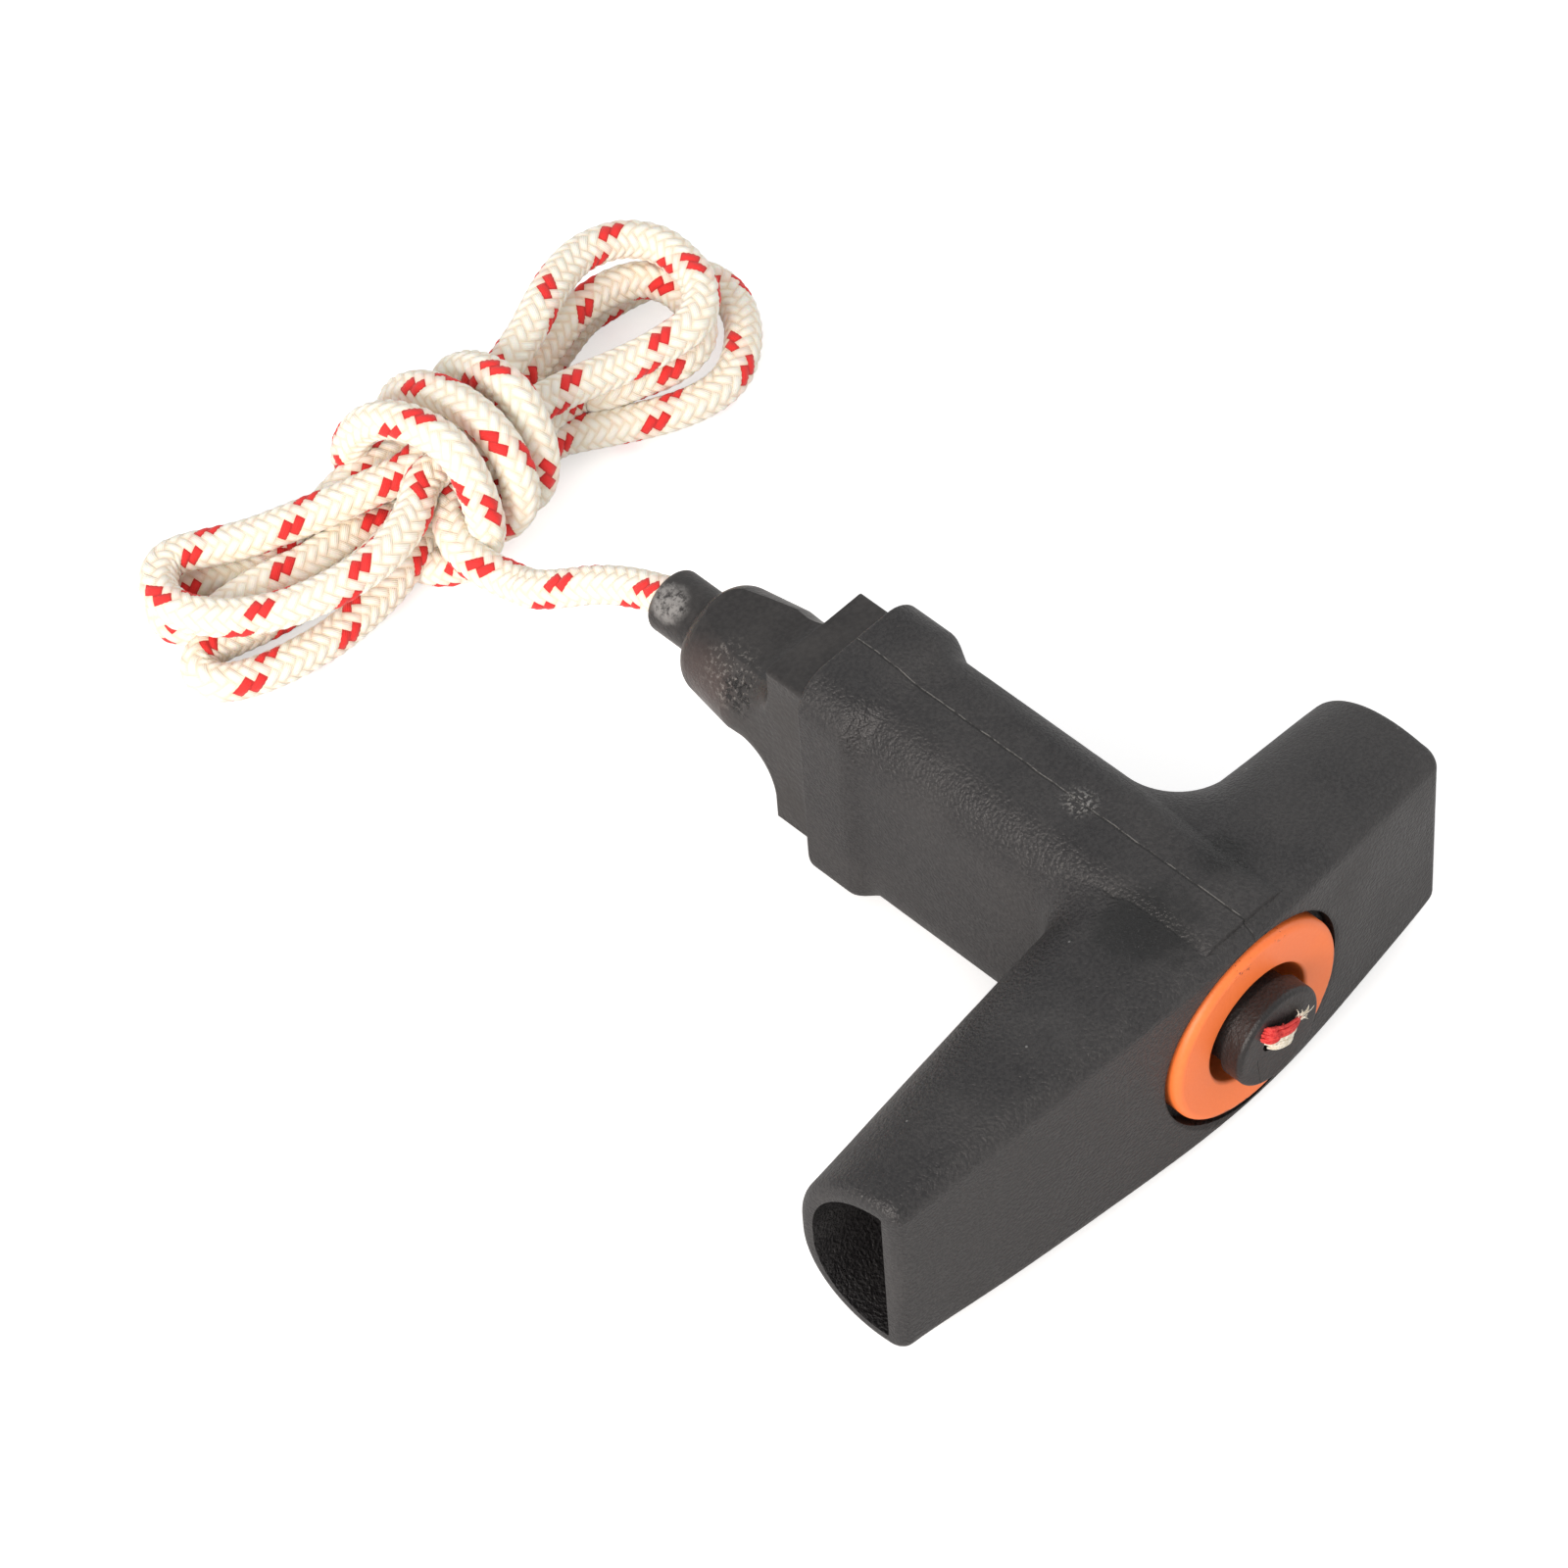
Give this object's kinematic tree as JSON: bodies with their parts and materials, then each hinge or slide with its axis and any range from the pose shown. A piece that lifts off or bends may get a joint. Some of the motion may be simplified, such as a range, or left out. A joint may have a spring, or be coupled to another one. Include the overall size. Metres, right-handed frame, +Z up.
{
  "type": "recoil starter handle",
  "caption": "Moulded T handle for a pull-start engine: hollow tapered bar, stem with rubber rope nozzle, spring-damped rope plunger, and a tied hank of flecked starter rope.",
  "frame": {"origin": "on the floor, under the middle of the handle's bounding box (without the free rope)", "axes": "+Y along the rope from the bar towards the nozzle, +X along the bar towards its short arm, +Z up from the side it lies on"},
  "size_m": [0.0954, 0.1403, 0.0324],
  "materials": {
    "grip_plastic": "matte, fine spark grain",
    "sleeve_plastic": "satin orange",
    "plunger_plastic": "satin black",
    "spring_steel": "drawn wire",
    "nozzle_rubber": "satin, moulded",
    "rope": "braided, with red flecks"
  },
  "bodies": {
    "handle": {"grip": "grip_plastic", "guide_sleeve": "sleeve_plastic", "nozzle": "nozzle_rubber", "damper_spring": "spring_steel"},
    "rope": {"plunger": "plunger_plastic", "rope_core": "rope", "rope_lead": "rope", "rope_hank": "rope"}
  },
  "joints": [
    {"name": "damper_slide", "type": "slide", "parent": "handle", "child": "rope", "axis": [0, 1, 0], "range_m": [0, 0.006], "stiffness_N_per_m": 4000, "springref_m": -0.004, "deforming": ["damper_spring"]}
  ]
}
